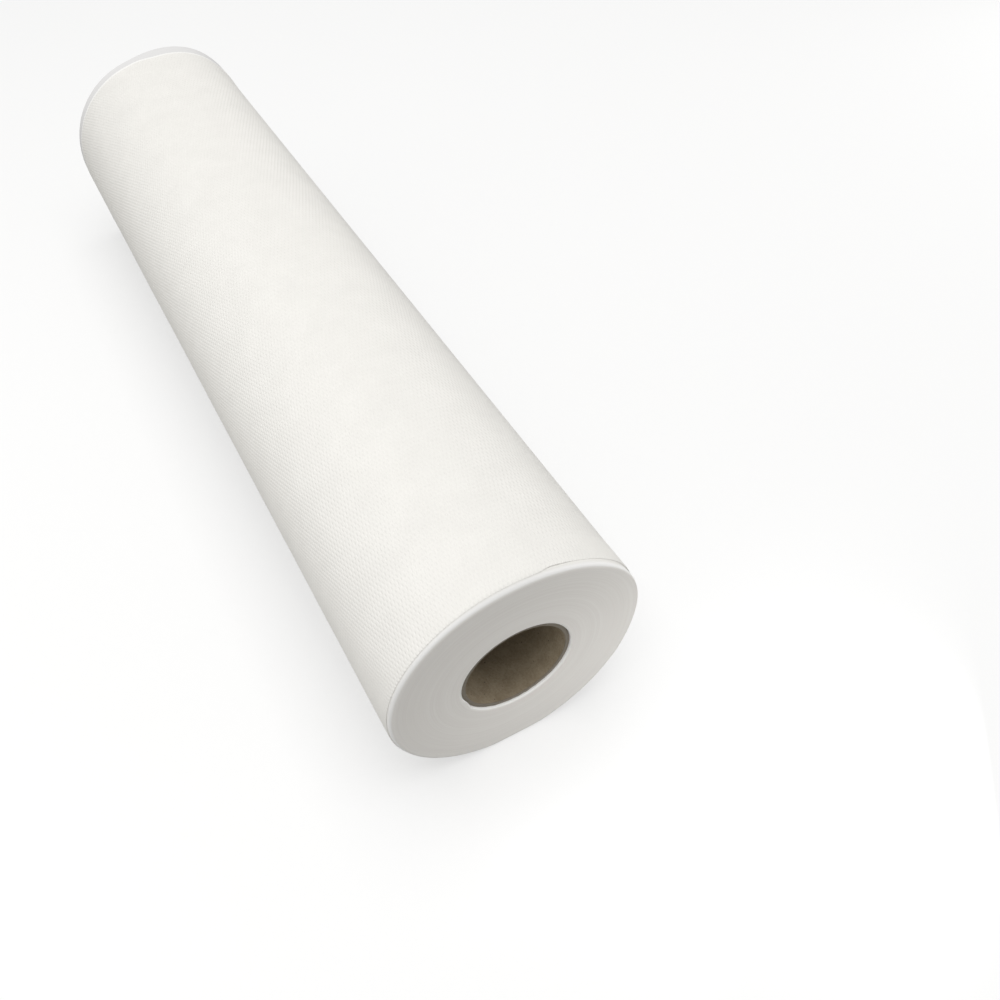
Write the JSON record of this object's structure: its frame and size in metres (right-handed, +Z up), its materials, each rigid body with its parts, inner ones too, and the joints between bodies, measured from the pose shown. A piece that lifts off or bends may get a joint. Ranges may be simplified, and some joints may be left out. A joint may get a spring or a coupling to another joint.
{
  "type": "exam table paper roll",
  "caption": "White embossed exam table paper wound on an open grey board core, lying on its side; a dispenser's rod goes through the core and the paper is drawn off over the table.",
  "frame": {"origin": "on the surface that the roll lies on, under the middle of the roll", "axes": "+Z up; the roll's axis runs along Y with its near end facing -Y; +X is to the right of a viewer who looks at the near end"},
  "size_m": [0.1199, 0.5, 0.1185],
  "materials": {
    "embossed_paper": "matt, embossed with staggered rows of fine oval pits",
    "grey_board": "matt, speckled recycled board"
  },
  "bodies": {
    "root": {"paper_roll": "embossed_paper", "core": "grey_board"}
  },
  "joints": []
}
